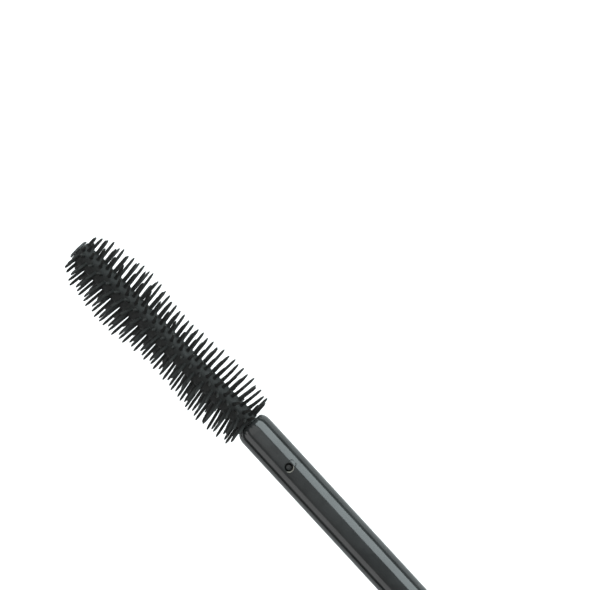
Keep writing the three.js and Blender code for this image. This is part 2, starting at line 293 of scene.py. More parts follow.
def make_turned_lines() -> None:
    """Builds fine lines that run round the long axis, as turning or spinning leaves them."""
    tree, entry, leave = new_group(
        TURNED_LINES, {"Vector": "Vector", "Lines": "Float"}, {"Height": "Float", "Cloud": "Float"}
    )
    place = entry.outputs["Vector"]
    spread = tree.vector("MULTIPLY", place, (1.0, 0.03, 0.03))
    tree.put(tree.noise(spread, entry.outputs["Lines"], 3.0), leave.inputs["Height"])
    tree.put(tree.noise(place, 160.0, 3.0), leave.inputs["Cloud"])


# ---- Finishes --------------------------------------------------------------------------------------

Colour = tuple[float, float, float]

DUST: Colour = (0.5, 0.5, 0.48)


def opaque(colour: Colour, shade: float = 1.0) -> tuple[float, float, float, float]:
    """A colour with full cover, made darker or lighter by a factor."""
    return (*(part * shade for part in colour), 1.0)


@dataclass(frozen=True)
class Finish:
    """A surface finish, which makes its material once.

    Attributes:
        name: the material's name.
        colour: its base colour.
        roughness: how dull it is, from 0 to 1.
    """

    name: str
    colour: Colour
    roughness: float

    def material(self) -> bpy.types.Material:
        """The finish's material, made on the first call."""
        made = bpy.data.materials.get(self.name)
        if made is None:
            made = bpy.data.materials.new(self.name)
            made.use_nodes = True
            made.node_tree.nodes.clear()
            tree = Tree(made.node_tree)
            place = tree.add("TexCoord").outputs["Object"]
            shader = tree.add("BsdfPrincipled")
            tree.add("OutputMaterial", {"Surface": shader.outputs[0]})
            self.dress(tree, place, shader)
        return made

    def dress(self, tree: Tree, place: bpy.types.NodeSocket, shader: bpy.types.Node) -> None:
        """Fills the material's tree.

        Args:
            tree: the tree.
            place: the Object coordinates.
            shader: the Principled BSDF to feed.
        """
        raise NotImplementedError

    def toned(self, tree: Tree, share: Setting, low: float, high: float = 1.0) -> bpy.types.NodeSocket:
        """The base colour, low times as bright at share 0 and high times at share 1."""
        return tree.blend(share, opaque(self.colour, low), opaque(self.colour, high))

    @staticmethod
    def feed(tree: Tree, shader: bpy.types.Node, **sockets: Setting) -> None:
        """Links or sets inputs of the shader, with _ for the spaces in their names."""
        for name, value in sockets.items():
            tree.put(value, shader.inputs[name.replace("_", " ")])

    @staticmethod
    def relief(tree: Tree, height: Setting, depth: float) -> bpy.types.NodeSocket:
        """A normal from a height of 0 to 1 that is depth metres deep."""
        return tree.add("Bump", {"Height": height, "Distance": depth, "Strength": 1.0}).outputs[0]


@dataclass(frozen=True)
class Moulded(Finish):
    """Moulded plastic or rubber with a fine skin and marks of handling.

    Attributes:
        grain: grains per metre.
        waves: slow waves per metre.
        depth: the depth of the skin, in metres.
        shade: how far the colour drifts between clouds, as a share.
        marks: how strongly handling marks show.
    """

    grain: float = 9000.0
    waves: float = 350.0
    depth: float = 2e-6
    shade: float = 0.15
    marks: float = 0.5

    def dress(self, tree: Tree, place: bpy.types.NodeSocket, shader: bpy.types.Node) -> None:
        """Feeds a clouded colour, a marked roughness and the skin's relief."""
        skin = tree.group(MOULDED_SKIN, {"Vector": place, "Grain": self.grain, "Waves": self.waves})
        marks = tree.group(HANDLING_MARKS, {"Vector": place})
        cloud = tree.ramp(skin.outputs["Cloud"], 0.35, 0.65)
        colour = self.toned(tree, cloud, 1 - self.shade, 1 + self.shade)
        dust = tree.math("MULTIPLY", marks.outputs["Dust"], 0.25 * self.marks)
        colour = tree.blend(dust, colour, opaque(DUST))
        smear = tree.math("MULTIPLY", marks.outputs["Smear"], 0.16 * self.marks)
        scratch = tree.math("MULTIPLY", marks.outputs["Scratch"], 0.22 * self.marks)
        rough = tree.math("ADD", tree.math("ADD", smear, scratch), self.roughness)
        self.feed(
            tree, shader, Base_Color=colour, Roughness=rough,
            Normal=self.relief(tree, skin.outputs["Height"], self.depth),
        )


@dataclass(frozen=True)
class GlintedStem(Moulded):
    """Moulded plastic with a painted highlight: a pale warm crescent round the rear of the window, on its
    upper half.

    Attributes:
        window: the window's middle along X, and its radius, in metres.
        glint: the painted highlight's colour.
    """

    window: tuple[float, float] = (0.0, 0.0)
    glint: Colour = (0.21, 0.2, 0.175)

    def dress(self, tree: Tree, place: bpy.types.NodeSocket, shader: bpy.types.Node) -> None:
        """Feeds the moulded look, with the painted highlight laid over its colour."""
        super().dress(tree, place, shader)
        middle, radius = self.window
        split = tree.add("SeparateXYZ", {0: place})
        along = tree.math("SUBTRACT", split.outputs["X"], middle)
        flat = tree.add("CombineXYZ", {0: along, 1: split.outputs["Y"]}).outputs[0]
        out = tree.vector("LENGTH", flat)
        inner = tree.ramp(out, radius * 0.96, radius * 1.04)
        outer = tree.ramp(out, radius * 1.28, radius * 1.18)
        ring = tree.math("MULTIPLY", inner, outer)
        rear = tree.ramp(tree.math("DIVIDE", along, out), 0.2, 0.75)
        top = tree.math("GREATER_THAN", split.outputs["Z"], AXIS_HEIGHT * MM)
        # painted highlight: a pale warm crescent at the window's rear rim, upper half only, stands in for
        # light caught there
        share = tree.math("MULTIPLY", tree.math("MULTIPLY", ring, rear), top)
        colour = shader.inputs["Base Color"].links[0].from_socket
        self.feed(tree, shader, Base_Color=tree.blend(share, colour, opaque(self.glint)))


@dataclass(frozen=True)
class Bristled(Finish):
    """The bristles' soft elastomer, lighter in random patches of the core, with painted highlights at the
    tips' ends.

    Attributes:
        tip_colour: the colour of the bristles' shafts.
        axis: a point on the brush's axis and its direction, in metres.
        core: the core's radius, in metres.
        mottle_and_highlight: how many times lighter than the core the random patches and the painted tip
            highlights are.
    """

    tip_colour: Colour
    axis: tuple[tuple[float, float, float], tuple[float, float, float]]
    core: float
    mottle_and_highlight: float = 2.2

    def dress(self, tree: Tree, place: bpy.types.NodeSocket, shader: bpy.types.Node) -> None:
        """Feeds a colour by distance from the brush's axis, painted highlights on the tips, and a soft
        grain.
        """
        point, direction = self.axis
        offset = tree.vector("SUBTRACT", place, point)
        across = tree.vector("SUBTRACT", offset, tree.vector("PROJECT", offset, direction))
        out = tree.vector("LENGTH", across)
        skin = tree.group(MOULDED_SKIN, {"Vector": place, "Grain": 12000.0, "Waves": 1600.0})
        share = tree.ramp(out, self.core, self.core * 1.9)
        colour = tree.blend(share, opaque(self.colour), opaque(self.tip_colour))
        lighter = tree.ramp(skin.outputs["Cloud"], 0.5, 0.72, 0.0, 0.5)
        lighter = tree.math("MULTIPLY", lighter, tree.math("SUBTRACT", 1.0, share))
        normal = tree.add(
            "VectorTransform", {0: tree.add("NewGeometry").outputs["Normal"]},
            vector_type="NORMAL", convert_from="WORLD", convert_to="OBJECT",
        ).outputs[0]
        facing = tree.vector("DOT_PRODUCT", tree.vector("NORMALIZE", across), normal)
        # painted highlight: shaft faces that look out from the axis are lightened, as if their blunt ends
        # caught the light
        tip_highlight = tree.math("MULTIPLY", share, tree.ramp(facing, 0.6, 0.95))
        colour = tree.blend(tree.math("MAXIMUM", lighter, tip_highlight), colour, opaque(self.colour, self.mottle_and_highlight))
        rough = tree.ramp(skin.outputs["Cloud"], 0.3, 0.7, self.roughness - 0.1, self.roughness + 0.12)
        self.feed(
            tree, shader, Base_Color=colour, Roughness=rough, Specular_IOR_Level=0.22,
            Normal=self.relief(tree, skin.outputs["Height"], 1.2e-5),
        )


@dataclass(frozen=True)
class SpunMetal(Finish):
    """Satin metal with lines round the long axis.

    Attributes:
        lines: lines per metre.
        depth: their depth, in metres.
    """

    lines: float = 9000.0
    depth: float = 1.5e-6

    def dress(self, tree: Tree, place: bpy.types.NodeSocket, shader: bpy.types.Node) -> None:
        """Feeds a lined roughness, relief and a faintly clouded colour."""
        lines = tree.group(TURNED_LINES, {"Vector": place, "Lines": self.lines})
        marks = tree.group(HANDLING_MARKS, {"Vector": place})
        cloud = tree.ramp(lines.outputs["Cloud"], 0.35, 0.7)
        colour = self.toned(tree, cloud, 0.9)
        rough = tree.ramp(lines.outputs["Height"], 0.3, 0.7, self.roughness - 0.08, self.roughness + 0.1)
        rough = tree.math("MULTIPLY_ADD", marks.outputs["Smear"], 0.08, rough)
        self.feed(
            tree, shader, Base_Color=colour, Roughness=rough, Metallic=1.0,
            Normal=self.relief(tree, lines.outputs["Height"], self.depth),
        )


@dataclass(frozen=True)
class StainedNeck(Finish):
    """Natural plastic with mascara dried on it towards the mouth.

    Attributes:
        mouth: where the mouth is along X, in metres.
        stain: the stain's colour.
        run: how far back from the mouth the stain goes, in metres.
    """

    mouth: float
    stain: Colour
    run: float = 0.0035

    def dress(self, tree: Tree, place: bpy.types.NodeSocket, shader: bpy.types.Node) -> None:
        """Feeds the plastic's colour, covered by patches of stain near the mouth."""
        skin = tree.group(MOULDED_SKIN, {"Vector": place, "Grain": 5000.0, "Waves": 420.0})
        along = tree.add("SeparateXYZ", {0: place}).outputs["X"]
        near = tree.ramp(along, self.mouth - self.run, self.mouth, 0.0, 0.62)
        patches = tree.noise(place, 650.0, 5.0, 0.8)
        stained = tree.ramp(tree.math("ADD", near, patches), 0.86, 0.98)
        base = self.toned(tree, tree.ramp(skin.outputs["Cloud"], 0.3, 0.7), 1.0, 0.93)
        self.feed(
            tree, shader, Base_Color=tree.blend(stained, base, opaque(self.stain)),
            Roughness=tree.ramp(skin.outputs["Cloud"], 0.3, 0.7, self.roughness, self.roughness + 0.12),
            Normal=self.relief(tree, skin.outputs["Height"], 6e-6),
            Subsurface_Weight=0.35, Subsurface_Scale=0.0015,
        )


@dataclass(frozen=True)
class Paste(Finish):
    """Wet mascara: black, lumpy and glossy."""

    def dress(self, tree: Tree, place: bpy.types.NodeSocket, shader: bpy.types.Node) -> None:
        """Feeds a lumpy relief and patches that have begun to dry."""
        skin = tree.group(MOULDED_SKIN, {"Vector": place, "Grain": 2600.0, "Waves": 700.0})
        dry = tree.ramp(skin.outputs["Cloud"], 0.4, 0.7, self.roughness, self.roughness + 0.3)
        self.feed(
            tree, shader, Base_Color=self.toned(tree, dry, 1.0, 3.0), Roughness=dry,
            Normal=self.relief(tree, skin.outputs["Height"], 1.2e-4),
        )


@dataclass(frozen=True)
class Foam(Finish):
    """Closed-cell foam, cut from sheet."""

    def dress(self, tree: Tree, place: bpy.types.NodeSocket, shader: bpy.types.Node) -> None:
        """Feeds cell walls and the shallow hollows between them, with painted shade darkening the hollows.
        """
        cells = tree.add("TexVoronoi", {"Vector": place, "Scale": 3800.0}, feature="SMOOTH_F1")
        wall = tree.ramp(cells.outputs["Distance"], 0.25, 0.6)
        # painted shade: the hollows are painted 0.82 times as bright as the cell walls
        self.feed(
            tree, shader, Base_Color=self.toned(tree, wall, 0.82), Roughness=self.roughness,
            Normal=self.relief(tree, wall, 4e-5), Sheen_Weight=0.2,
        )


@dataclass(frozen=True)
class BlankLabel(Finish):
    """A round label, blank but for a thin ring near its edge and a dot of the shade.

    Attributes:
        radius: the label's radius, in metres.
        swatch: the swatch's colour.
    """

    radius: float
    swatch: Colour

    def dress(self, tree: Tree, place: bpy.types.NodeSocket, shader: bpy.types.Node) -> None:
        """Feeds paper tone, a thin ring near the edge and a dot in the middle."""
        centred = tree.vector("SUBTRACT", place, (0.0, 0.0, AXIS_HEIGHT * MM))
        out = tree.vector("LENGTH", tree.vector("MULTIPLY", centred, (0.0, 1.0, 1.0)))
        half_line = 0.0001
        ring = tree.math("COMPARE", out, self.radius * 0.86, half_line)
        dot = tree.math("LESS_THAN", out, self.radius * 0.3)
        fibres = tree.noise(place, 2400.0, 4.0)
        paper = self.toned(tree, fibres, 0.94)
        printed = tree.math("MAXIMUM", ring, dot)
        rough = tree.ramp(fibres, 0.3, 0.7, self.roughness - 0.08, self.roughness + 0.08)
        self.feed(
            tree, shader, Base_Color=tree.blend(printed, paper, opaque(self.swatch)), Roughness=rough,
            Normal=self.relief(tree, fibres, 3e-6),
        )


@dataclass(frozen=True)
class PaleFloor(Finish):
    """A pale sweep of paper, lit through from below where the camera looks at it.

    Attributes:
        glow: how brightly it shines to the camera by itself, which opens up the shadows.
    """

    glow: float = 0.55

    def dress(self, tree: Tree, place: bpy.types.NodeSocket, shader: bpy.types.Node) -> None:
        """Feeds a nearly even white with a trace of paper tone."""
        colour = self.toned(tree, tree.noise(place, 6.0, 3.0), 0.985)
        seen = tree.add("LightPath").outputs["Is Camera Ray"]
        self.feed(
            tree, shader, Base_Color=colour, Roughness=self.roughness, Emission_Color=(1.0, 1.0, 1.0, 1.0),
            Emission_Strength=tree.math("MULTIPLY", seen, self.glow),
        )


@dataclass(frozen=True)
class BlackCloth(Finish):
    """Black cloth on a studio flag."""

    def dress(self, tree: Tree, place: bpy.types.NodeSocket, shader: bpy.types.Node) -> None:
        """Feeds a fine weave that reflects almost nothing."""
        colour = self.toned(tree, tree.noise(place, 1500.0, 1.0), 0.6)
        self.feed(tree, shader, Base_Color=colour, Roughness=self.roughness, Specular_IOR_Level=0.0)


# ---- Forms -----------------------------------------------------------------------------------------


@dataclass(frozen=True)
class Knee:
    """A corner of a profile, in millimetres.

    Attributes:
        out: its distance from the long axis.
        along: its place along the long axis.
        ease: how far its rounding reaches on both sides.
    """

    out: float
    along: float
    ease: float = 0.0


def wire(knees: Sequence[Knee]) -> bmesh.types.BMesh:
    """Draws a profile as edges, with its corners eased.

    Args:
        knees: the corners. A profile that starts on the axis ends on it; any other closes on itself.

    Returns:
        The edges, in the half plane above the axis.
    """
    form = bmesh.new()
    verts = [form.verts.new((knee.along, 0.0, knee.out)) for knee in knees]
    followers = verts[1:] if knees[0].out == 0 else verts[1:] + verts[:1]
    for vert, follower in zip(verts, followers):
        form.edges.new((vert, follower))
    for vert, knee in zip(verts, knees):
        if knee.ease:
            bmesh.ops.bevel(
                form, geom=[vert], offset=knee.ease, offset_type="OFFSET", segments=EASE_STEPS,
                profile=0.5, affect="VERTICES", material=-1,
            )
    return form


def turned(knees: Sequence[Knee], sides: int = ROUND_SIDES) -> bmesh.types.BMesh:
    """Turns a profile into a closed round body about the long axis.

    Args:
        knees: the profile's corners.
        sides: how many sides the body has.

    Returns:
        The body.
    """
    form = wire(knees)
    half_step = Matrix.Rotation(math.pi / sides, 3, "X")
    bmesh.ops.rotate(form, verts=form.verts, cent=(0, 0, 0), matrix=half_step)
    bmesh.ops.spin(
        form, geom=form.verts[:] + form.edges[:], cent=(0, 0, 0), axis=(1, 0, 0), dvec=(0, 0, 0),
        angle=FULL_TURN, steps=sides, use_merge=True, use_duplicate=False,
    )
    bmesh.ops.remove_doubles(form, verts=form.verts, dist=1e-5)
    bmesh.ops.recalc_face_normals(form, faces=form.faces)
    return form


def column(rings: Sequence[tuple[float, float]], sides: int) -> bmesh.types.BMesh:
    """Extrudes a circle upwards through rings of other sizes.

    Args:
        rings: the height and radius of each ring, the lowest first.
        sides: how many sides the column has.

    Returns:
        The closed column.
    """
    form = bmesh.new()
    bmesh.ops.create_circle(form, cap_ends=True, radius=rings[0][1], segments=sides)
    bmesh.ops.translate(form, vec=(0, 0, rings[0][0]), verts=form.verts)
    foot = form.faces[:]
    top = foot
    for height, radius in rings[1:]:
        grown = bmesh.ops.extrude_face_region(form, geom=top)["geom"]
        if top is not foot:
            bmesh.ops.delete(form, geom=top, context="FACES_ONLY")
        for vert in (item for item in grown if isinstance(item, bmesh.types.BMVert)):
            flat = Vector((vert.co.x, vert.co.y)).normalized() * radius
            vert.co = (flat.x, flat.y, height)
        top = [item for item in grown if isinstance(item, bmesh.types.BMFace)]
    bmesh.ops.recalc_face_normals(form, faces=form.faces)
    return form


@dataclass(frozen=True)
class SoftSquare:
    """The section that the tube and the cap share: flat sides with round corners.

    Attributes:
        half: half of its width.
        corner: the radius of its corners.
    """

    half: float
    corner: float = 4.5

    @property
    def flat(self) -> float:
        """Half of the straight part of a side."""
        return self.half - self.corner

    def knee(self, half: float, along: float, ease: float = 0.0) -> Knee:
        """A corner of a profile where the section is half wide on each side."""
        return Knee(half - self.flat, along, ease)

    def body(self, knees: Sequence[Knee]) -> bmesh.types.BMesh:
        """Turns a profile, and pushes its rings out to soft squares.

        Rings that are wider than the corners, such as a neck's hole, stay round.

        Args:
            knees: the profile, with the rings to push made by knee().

        Returns:
            The body.
        """
        form = turned(knees)
        for vert in form.verts:
            out = math.hypot(vert.co.y, vert.co.z)
            if NEAR < out < self.corner + NEAR:
                vert.co.y += math.copysign(self.flat, vert.co.y)
                vert.co.z += math.copysign(self.flat, vert.co.z)
        return form


@dataclass(frozen=True)
class Thread:
    """One screw ridge about the long axis.

    Attributes:
        foot: the radius where it stands on its wall.
        crest: the radius of its top, which is smaller than the foot's inside a cap.
        start: where its middle would be along the axis at angle 0, which is straight up.
        first: the angle where it begins, by the right hand about +X.
        last: the angle where it ends.
        foot_width: its width where it stands on its wall.
        crest_width: the width of its top.
        fade: how far along the axis its ends take to rise from the wall.
        least: the share of its height that its ends keep.
        rounding: how far its crest's edges are rounded.
    """

    foot: float
    crest: float
    start: float
    first: float
    last: float
    foot_width: float = 1.3
    crest_width: float = 0.5
    fade: float = 0.35
    least: float = 0.05
    rounding: float = 0.12

    def body(self) -> bmesh.types.BMesh:
        """Sweeps the ridge, and fades its two ends into the wall."""
        form = bmesh.new()
        low = self.start + PITCH * self.first / FULL_TURN
        section = [
            (low - self.foot_width / 2, self.foot), (low - self.crest_width / 2, self.crest),
            (low + self.crest_width / 2, self.crest), (low + self.foot_width / 2, self.foot),
        ]
        verts = [form.verts.new((along, 0.0, out)) for along, out in section]
        form.faces.new(verts)
        bmesh.ops.rotate(form, verts=form.verts, cent=(0, 0, 0), matrix=Matrix.Rotation(self.first, 3, "X"))
        sweep = self.last - self.first
        climb = PITCH * sweep / FULL_TURN
        steps = round(ROUND_SIDES * sweep / FULL_TURN)
        bmesh.ops.spin(
            form, geom=form.verts[:] + form.edges[:] + form.faces[:], cent=(0, 0, 0), axis=(1, 0, 0),
            dvec=(climb / steps, 0, 0), angle=sweep, steps=steps, use_duplicate=False,
        )
        bmesh.ops.recalc_face_normals(form, faces=form.faces)
        for vert in form.verts:
            if self._is_top(vert):
                climbed = vert.co.x - low
                share = max(self.least, min(1.0, climbed / self.fade, (climb - climbed) / self.fade))
                scale = (self.foot + (self.crest - self.foot) * share) / math.hypot(vert.co.y, vert.co.z)
                vert.co.y *= scale
                vert.co.z *= scale
        rim = [edge for edge in form.edges if self._on_crest(edge)]
        bmesh.ops.bevel(
            form, geom=rim, offset=self.rounding, offset_type="OFFSET", segments=2, profile=0.5,
            affect="EDGES", material=-1,
        )
        return form

    def _is_top(self, vert: bmesh.types.BMVert) -> bool:
        """Whether a point lies at the ridge's full height."""
        return abs(math.hypot(vert.co.y, vert.co.z) - self.crest) < NEAR

    def _on_crest(self, edge: bmesh.types.BMEdge) -> bool:
        """Whether an edge runs along the ridge's top, away from its faded ends."""
        sharp = math.radians(30)
        return all(map(self._is_top, edge.verts)) and edge.is_manifold and edge.calc_face_angle(0) > sharp


def shown(form: bmesh.types.BMesh, name: str) -> bpy.types.Object:
    """Puts a form in the scene as an object and frees it."""
    mesh = bpy.data.meshes.new(name)
    form.to_mesh(mesh)
    form.free()
    made = bpy.data.objects.new(name, mesh)
    bpy.context.scene.collection.objects.link(made)
    return made


def combined(form: bmesh.types.BMesh, other: bmesh.types.BMesh, joining: Joining) -> bmesh.types.BMesh:
    """Joins two closed forms, or cuts the second out of the first.

    Args:
        form: the first form.
        other: the second form.
        joining: what to do with it.

    Returns:
        The closed result.
    """
    base = shown(form, "base")
    tool = shown(other, "tool")
    modifier = base.modifiers.new("join", "BOOLEAN")
    modifier.object = tool
    modifier.operation = joining.value
    modifier.solver = "MANIFOLD"
    graph = bpy.context.evaluated_depsgraph_get()
    mesh = bpy.data.meshes.new_from_object(base.evaluated_get(graph))
    result = bmesh.new()
    result.from_mesh(mesh)
    for made in (base, tool):
        old = made.data
        bpy.data.objects.remove(made)
        bpy.data.meshes.remove(old)
    bpy.data.meshes.remove(mesh)
    return result


def shaded(form: bmesh.types.BMesh) -> None:
    """Smooths the faces, and keeps the edges sharp that turn by more than the crease angle."""
    crease = math.radians(32)
    for face in form.faces:
        face.smooth = True
    for edge in form.edges:
        edge.smooth = edge.is_manifold and edge.calc_face_angle(0) < crease


def finished(
    form: bmesh.types.BMesh, name: str, finish: Finish, body: Body, slot: str, replaced: Iterable[str]
) -> bpy.types.Object:
    """Makes a form a piece of the object.

    Args:
        form: the form, in millimetres about the long axis.
        name: the piece's name.
        finish: its finish.
        body: the body that it moves with.
        slot: the record's material slot; not used.
        replaced: the CAD nodes that it stands for.

    Returns:
        The piece, in the frame's metres.
    """
    bmesh.ops.scale(form, vec=(MM, MM, MM), verts=form.verts)
    bmesh.ops.translate(form, vec=(0, 0, AXIS_HEIGHT * MM), verts=form.verts)
    shaded(form)
    faces = len(form.faces)
    made = shown(form, name)
    made.data.materials.append(finish.material())
    even = made.modifiers.new("even shading", "WEIGHTED_NORMAL")
    even.keep_sharp = True
    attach(made, body.value)
    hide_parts(*replaced)
    log.info("%s: %d faces, on %s", name, faces, body.value)
    return made


def dressed(node: str, finish: Finish) -> None:
    """Gives a CAD node that stays in view a finish of its own."""
    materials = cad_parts[node].data.materials
    materials.clear()
    materials.append(finish.material())
    log.info("%s: kept from the frame, %s", node, finish.name)


# ---- Brush -----------------------------------------------------------------------------------------


def between(stations: Sequence[tuple[float, float]], at: float) -> float:
    """Reads a value between given stations.

    Args:
        stations: places and their values, in rising order.
        at: the place to read.

    Returns:
        The value there, eased from station to station.
    """
    if at <= stations[0][0]:
        return stations[0][1]
    for (low, first), (high, second) in zip(stations, stations[1:]):
        if at <= high:
            share = (at - low) / (high - low)
            return first + (second - first) * share * share * (3 - 2 * share)
    return stations[-1][1]


@dataclass(frozen=True)
class Bristle:
    """One bristle of the brush.

    Attributes:
        angle: its row's turn from straight up towards +Y.
        back: its distance from the stem's end along the brush's axis.
        tip: the height of its tip over the brush's axis.
        lean: its lean towards the brush's tip.
        bow: how far its middle bends sideways.
    """

    angle: float
    back: float
    tip: float
    lean: float
    bow: float


@dataclass
class Brush:
    """The moulded brush: a bristled sleeve over a stiff spine that ends in a button.

    Lengths are in millimetres, and places along the brush run from the stem's end to the brush's tip.
    """

    length: float = 26.3
    lean: float = math.radians(1.85)
    rows: int = 16
    first_row: float = math.radians(-3)
    pitch: float = 1.36
    datum: float = 19.72
    steps: range = range(-15, 6)  # counted from the bristle at the datum
    stagger: tuple[float, ...] = (  # each row's, in pitches
        0, 0.46, 0, 0.41, -0.08, 0.41, 0.49, 0.41, 0, 0.4, 0.8, 0.64, 0, 0.31, 0.46, 0.4,
    )
    ends: tuple[float, float] = (0.34, 25.6)  # where the first and last roots have room
    beyond: tuple[float, float] = (0.54, 0.2)  # how far past them a bristle is still moved in
    outline: tuple[tuple[float, float], ...] = (  # the tips' height over the axis, by place
        (0, 3.2), (4.7, 3.86), (12.2, 3.2), (18.8, 3.94), (23.5, 3.4), (26, 2.35),
    )
    upper_lean: tuple[tuple[float, float], ...] = (  # degrees towards the tip, by place, at +Y
        (0.45, 6), (1.1, -7), (5, 0), (9, 5), (12, 9), (16, 6), (26, 5.5),
    )
    lower_lean: tuple[tuple[float, float], ...] = ((0, -12), (9, -9), (13, -2), (17, 4), (26, 4.5))
    ruffle: tuple[float, float] = (1.6, 4.0)  # how much looser the rearmost are, and how far on
    spread: tuple[float, float, float] = (1.3, 1.2, 0.04)  # of turn and lean in degrees, and of bow
    heights: tuple[float, float] = (0.97, 1.02)  # shares of a bristle's full height
    seed: int = 7
    core: float = 1.18
    root: float = 0.168
    rear: float = 0.05
    button: float = 0.3
    button_radius: float = 1.2
    spine: float = 0.5
    rod_end: float = 0.6  # how far the rod runs into the shank
    shank: float = 0.95
    shank_front: float = 0.04  # how far the shank stands out of the stem
    shank_depth: float = 8.7
    peg: float = 0.33
    peg_back: float = 6.2
    peg_top: float = 1.5
    stem_end: float = field(init=False)

    def __post_init__(self) -> None:
        """Takes the stem's end from the frame."""
        self.stem_end = Span.of("stem").start

    def leaning(self, form: bmesh.types.BMesh) -> bmesh.types.BMesh:
        """Leans a form that was made along the brush's own axis, about the middle of the stem's end."""
        form.transform(Matrix.Rotation(self.lean, 4, "Z"))
        return form

    def bristles(self) -> list[Bristle]:
        """Sets out every bristle, with the small differences of a moulded and used brush."""
        chance = random.Random(self.seed)
        rearmost, foremost = self.ends
        turn_spread, lean_spread, bow_spread = self.spread
        looser, loose_reach = self.ruffle
        found = []
        for row in range(self.rows):
            angle = self.first_row + row * FULL_TURN / self.rows
            upper = (1 + math.sin(angle)) / 2
            for step in self.steps:
                station = self.datum + (step + self.stagger[row]) * self.pitch
                back = min(max(station, rearmost), foremost)
                lean = between(self.upper_lean, back) * upper + between(self.lower_lean, back) * (1 - upper)
                loose = 1.0 + looser * max(0.0, 1 - back / loose_reach)
                bristle = Bristle(
                    angle=angle + math.radians(chance.gauss(0, turn_spread * loose)),
                    back=back,
                    tip=between(self.outline, back) * chance.uniform(*self.heights),
                    lean=math.radians(lean + chance.gauss(0, lean_spread * loose)),
                    bow=chance.gauss(0, bow_spread),
                )
                if rearmost - self.beyond[0] < station < foremost + self.beyond[1]:
                    found.append(bristle)
        return found

    def template(self) -> bmesh.types.BMesh:
        """One upright bristle, 1 mm tall over the core: a flared root, a taper and a blunt point."""
        shares = (
            (0.0, 1.4), (0.25, 1.4), (0.31, 1.15), (0.42, 1.07),
            (0.85, 1.0), (1.08, 0.9), (1.2, 0.62), (1.25, 0.3),
        )
        return column([(height, self.root * share) for height, share in shares], BRISTLE_SIDES)

    def grown(self, bristle: Bristle) -> Callable[[Vector], Vector]:
        """How a point of the template goes to its place on one bristle.

        Args:
            bristle: the bristle.

        Returns:
            A function from a template point to the brush's own axes.
        """
        sunk = 0.25
        fixed = 0.42
        full = sunk + 1.0
        length = bristle.tip / math.cos(bristle.lean) - self.core
        turn = Matrix.Rotation(-bristle.angle, 3, "X")
        tilt = Matrix.Rotation(-bristle.lean, 3, "Y")

        def move(point: Vector) -> Vector:
            """Stretches the shaft, bows and leans it, and turns it to its row."""
            up = point.z
            if up > fixed:
                up = fixed + (up - fixed) * (sunk + length - fixed) / (full - fixed)
            share = max(0.0, (up - sunk) / length)
            bowed = Vector((point.x + bristle.bow * share * share, point.y, up - sunk))
            return turn @ (tilt @ bowed + Vector((-bristle.back, 0, self.core)))

        return move

    def bristle_form(self, bristles: Sequence[Bristle]) -> bmesh.types.BMesh:
        """Grows the given bristles about the brush's own axis."""
        pattern = bpy.data.meshes.new("bristle")
        one = self.template()
        one.to_mesh(pattern)
        one.free()
        form = bmesh.new()
        for bristle in bristles:
            start = len(form.verts)
            form.from_mesh(pattern)
            form.verts.ensure_lookup_table()
            move = self.grown(bristle)
            for vert in form.verts[start:]:
                vert.co = move(vert.co)
        bpy.data.meshes.remove(pattern)
        return form

    def sleeve(self) -> bmesh.types.BMesh:
        """The bristled sleeve: its core, with every bristle joined to it."""
        slack = 0.1
        front = -(self.length - self.button - slack)
        bore = self.spine + slack
        form = turned([
            Knee(bore, front), Knee(self.core, front, 0.05),
            Knee(self.core, -self.rear, 0.02), Knee(bore, -self.rear),
        ], ROD_SIDES)
        bristles = self.bristles()
        for parity in (0, 1):
            alternate = [bristle for bristle in bristles if self.row_of(bristle) % 2 == parity]
            form = combined(form, self.bristle_form(alternate), Joining.JOIN)
        log.info("brush: %d bristles in %d rows", len(bristles), self.rows)
        return self.leaning(form)

    def row_of(self, bristle: Bristle) -> int:
        """The number of a bristle's row."""
        return round((bristle.angle - self.first_row) * self.rows / FULL_TURN)

    def spine_form(self) -> bmesh.types.BMesh:
        """The spine: a shank and peg in the stem, a rod through the sleeve and the domed button."""
        tip = -self.length
        button_back = tip + self.button
        rod = self.leaning(turned([
            Knee(0, tip), Knee(self.button_radius, tip + 0.08, 0.26),
            Knee(self.button_radius, button_back, 0.03), Knee(self.spine, button_back),
            Knee(self.spine, self.rod_end), Knee(0, self.rod_end),
        ], ROD_SIDES))
        shank = turned([
            Knee(0, -self.shank_front), Knee(self.shank, -self.shank_front),
            Knee(self.shank, self.shank_depth, 0.1), Knee(0, self.shank_depth),
        ], ROD_SIDES)
        peg = column([
            (0, self.peg), (self.peg_top - 0.1, self.peg),
            (self.peg_top - 0.03, self.peg - 0.03), (self.peg_top, self.peg - 0.1),
        ], SMALL_SIDES)
        bmesh.ops.translate(peg, vec=(self.peg_back, 0, 0), verts=peg.verts)
        return combined(combined(shank, rod, Joining.JOIN), peg, Joining.JOIN)

    def build(self, finish: Finish, spine_finish: Finish) -> None:
        """Builds both pieces of the brush.

        Args:
            finish: the finish of the bristled sleeve.
            spine_finish: the finish of the spine.
        """
        for form, name, look, slot, node in (
            (self.sleeve(), "bristle_moulding", finish, "bristle_black", "bristle_sleeve"),
            (self.spine_form(), "spine_moulding", spine_finish, "spine_black", "brush_spine"),
        ):
            bmesh.ops.translate(form, vec=(self.stem_end, 0, 0), verts=form.verts)
            finished(form, name, look, Body.WAND, slot, [node])


# ---- Stem ------------------------------------------------------------------------------------------


